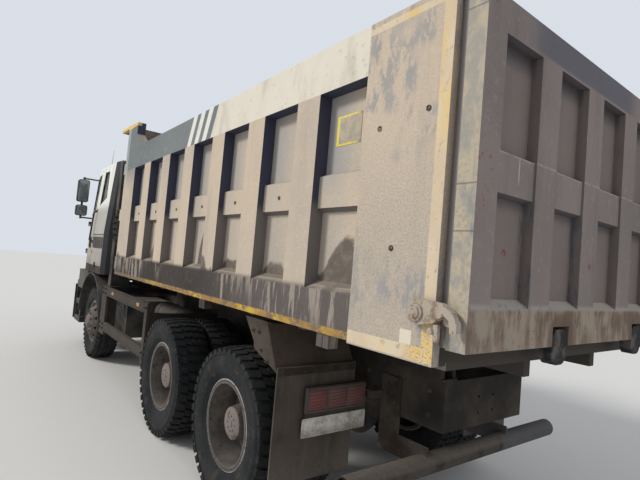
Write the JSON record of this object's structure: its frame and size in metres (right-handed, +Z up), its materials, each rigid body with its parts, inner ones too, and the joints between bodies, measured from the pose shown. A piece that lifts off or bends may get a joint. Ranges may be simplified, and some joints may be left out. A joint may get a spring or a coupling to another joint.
{
  "type": "dump truck",
  "caption": "Dump truck with a square ribbed steel load bed, cab over the engine, twin rear axles with paired wheels, top-hung tailgate and front telescopic hoist.",
  "frame": {"origin": "on the ground, under the middle of the truck's overall length and width", "axes": "+X forward, +Y to the truck's left, +Z up"},
  "size_m": [7.98, 2.71, 3.2258],
  "materials": {
    "bed_paint": "dusty, scraped",
    "gate_paint": "dusty, peeled",
    "cab_paint": "semi-gloss white",
    "dark_plastic": "matt",
    "chassis_paint": "matt black, dusty",
    "wheel_paint": "light grey, dirty",
    "tyre": "matt",
    "glass": "clear",
    "zinc": "galvanised",
    "tank_metal": "satin",
    "stage_steel": "ground",
    "lamp_lens": "glossy",
    "flap_rubber": "matt",
    "seat_cloth": "woven"
  },
  "bodies": {
    "chassis": {"chassis_frame": "chassis_paint", "axles": "chassis_paint", "leaf_springs": "chassis_paint", "engine": "chassis_paint", "propeller_shafts": "chassis_paint", "front_bumper": "dark_plastic", "lamps": "lamp_lens", "steps_and_fenders": "dark_plastic", "fuel_tank": "tank_metal", "battery_and_air_tanks": "chassis_paint", "silencer": "chassis_paint", "side_guards": "zinc", "spare_wheel": "wheel_paint", "spare_tyre": "tyre", "spare_carrier": "chassis_paint", "air_intake": "dark_plastic", "mudguards": "chassis_paint", "mudflaps": "flap_rubber", "underrun_bar": "chassis_paint"},
    "cab": {"cab_floor": "chassis_paint", "cab_back": "cab_paint", "cab_sides": "cab_paint", "cab_roof": "cab_paint", "cab_front": "cab_paint", "cab_glass": "glass", "grille": "dark_plastic", "dashboard": "dark_plastic", "seats": "seat_cloth", "mirrors": "dark_plastic", "sun_visor": "dark_plastic"},
    "door_left": {"door_left": "cab_paint", "door_glass_left": "glass"},
    "door_right": {"door_right": "cab_paint", "door_glass_right": "glass"},
    "steering_wheel": {"steering_wheel": "dark_plastic"},
    "knuckle_left": {"knuckle_left": "chassis_paint"},
    "knuckle_right": {"knuckle_right": "chassis_paint"},
    "front_wheel_left": {"front_wheel_left": "wheel_paint", "front_tyre_left": "tyre"},
    "front_wheel_right": {"front_wheel_right": "wheel_paint", "front_tyre_right": "tyre"},
    "mid_wheels_left": {"mid_wheels_left": "wheel_paint", "mid_tyres_left": "tyre"},
    "mid_wheels_right": {"mid_wheels_right": "wheel_paint", "mid_tyres_right": "tyre"},
    "rear_wheels_left": {"rear_wheels_left": "wheel_paint", "rear_tyres_left": "tyre"},
    "rear_wheels_right": {"rear_wheels_right": "wheel_paint", "rear_tyres_right": "tyre"},
    "bed": {"bed_floor": "bed_paint", "bed_side_left": "bed_paint", "bed_side_right": "bed_paint", "bed_front": "bed_paint", "lock_hooks": "chassis_paint"},
    "tailgate": {"tailgate": "gate_paint", "tailgate_claws": "chassis_paint"},
    "hoist_tube": {"hoist_tube": "chassis_paint"},
    "hoist_stage_1": {"hoist_stage_1": "stage_steel"},
    "hoist_stage_2": {"hoist_stage_2": "stage_steel"},
    "hoist_stage_3": {"hoist_stage_3": "stage_steel"}
  },
  "joints": [
    {"name": "cab_tilt", "type": "hinge", "parent": "chassis", "child": "cab", "pos_m": [3.89, 0, 1.01], "axis": [0, 1, 0], "range_deg": [0, 50]},
    {"name": "door_left_swing", "type": "hinge", "parent": "cab", "child": "door_left", "pos_m": [3.602, 1.13, 1.98], "axis": [0, 0, -1], "range_deg": [0, 70]},
    {"name": "door_right_swing", "type": "hinge", "parent": "cab", "child": "door_right", "pos_m": [3.602, -1.13, 1.98], "axis": [0, 0, 1], "range_deg": [0, 70]},
    {"name": "steer_left", "type": "hinge", "parent": "chassis", "child": "knuckle_left", "pos_m": [2.54, 0.85, 0.53], "axis": [0, 0, 1], "range_deg": [-35, 35]},
    {"name": "steer_right", "type": "hinge", "parent": "chassis", "child": "knuckle_right", "pos_m": [2.54, -0.85, 0.53], "axis": [0, 0, 1], "range_deg": [-35, 35]},
    {"name": "steering_wheel_turn", "type": "hinge", "parent": "cab", "child": "steering_wheel", "pos_m": [3.34, 0.7, 2.07], "axis": [-0.5, 0, 0.866], "range_deg": [-630, 630]},
    {"name": "front_left_roll", "type": "hinge", "parent": "knuckle_left", "child": "front_wheel_left", "pos_m": [2.54, 1.011, 0.53], "axis": [0, 1, 0], "continuous": true},
    {"name": "front_right_roll", "type": "hinge", "parent": "knuckle_right", "child": "front_wheel_right", "pos_m": [2.54, -1.011, 0.53], "axis": [0, 1, 0], "continuous": true},
    {"name": "mid_left_roll", "type": "hinge", "parent": "chassis", "child": "mid_wheels_left", "pos_m": [-0.76, 0.912, 0.53], "axis": [0, 1, 0], "continuous": true},
    {"name": "mid_right_roll", "type": "hinge", "parent": "chassis", "child": "mid_wheels_right", "pos_m": [-0.76, -0.912, 0.53], "axis": [0, 1, 0], "continuous": true},
    {"name": "rear_left_roll", "type": "hinge", "parent": "chassis", "child": "rear_wheels_left", "pos_m": [-2.11, 0.912, 0.53], "axis": [0, 1, 0], "continuous": true},
    {"name": "rear_right_roll", "type": "hinge", "parent": "chassis", "child": "rear_wheels_right", "pos_m": [-2.11, -0.912, 0.53], "axis": [0, 1, 0], "continuous": true},
    {"name": "bed_tip", "type": "hinge", "parent": "chassis", "child": "bed", "pos_m": [-3.26, 0, 1.18], "axis": [0, -1, 0], "range_deg": [0, 45]},
    {"name": "tailgate_swing", "type": "hinge", "parent": "bed", "child": "tailgate", "pos_m": [-3.768, 0, 2.96], "axis": [0, 1, 0], "range_deg": [0, 75]},
    {"name": "hoist_swing", "type": "hinge", "parent": "chassis", "child": "hoist_tube", "pos_m": [1.555, 0, 0.96], "axis": [0, -1, 0], "range_deg": [0, 26.86]},
    {"name": "hoist_slide_1", "type": "slide", "parent": "hoist_tube", "child": "hoist_stage_1", "axis": [0, 0, 1], "range_m": [0, 1.1968]},
    {"name": "hoist_slide_2", "type": "slide", "parent": "hoist_stage_1", "child": "hoist_stage_2", "axis": [0, 0, 1], "range_m": [0, 1.1968]},
    {"name": "hoist_slide_3", "type": "slide", "parent": "hoist_stage_2", "child": "hoist_stage_3", "axis": [0, 0, 1], "range_m": [0, 1.1968]}
  ],
  "couplings": [
    {"joint": "steer_right", "follows": "steer_left", "ratio": 1},
    {"joint": "steering_wheel_turn", "follows": "steer_left", "ratio": 18},
    {"joint": "hoist_swing", "follows": "bed_tip", "ratio": 0.59697},
    {"joint": "hoist_slide_1", "follows": "bed_tip", "m_per_rad": 1.5238},
    {"joint": "hoist_slide_2", "follows": "bed_tip", "m_per_rad": 1.5238},
    {"joint": "hoist_slide_3", "follows": "bed_tip", "m_per_rad": 1.5238}
  ]
}
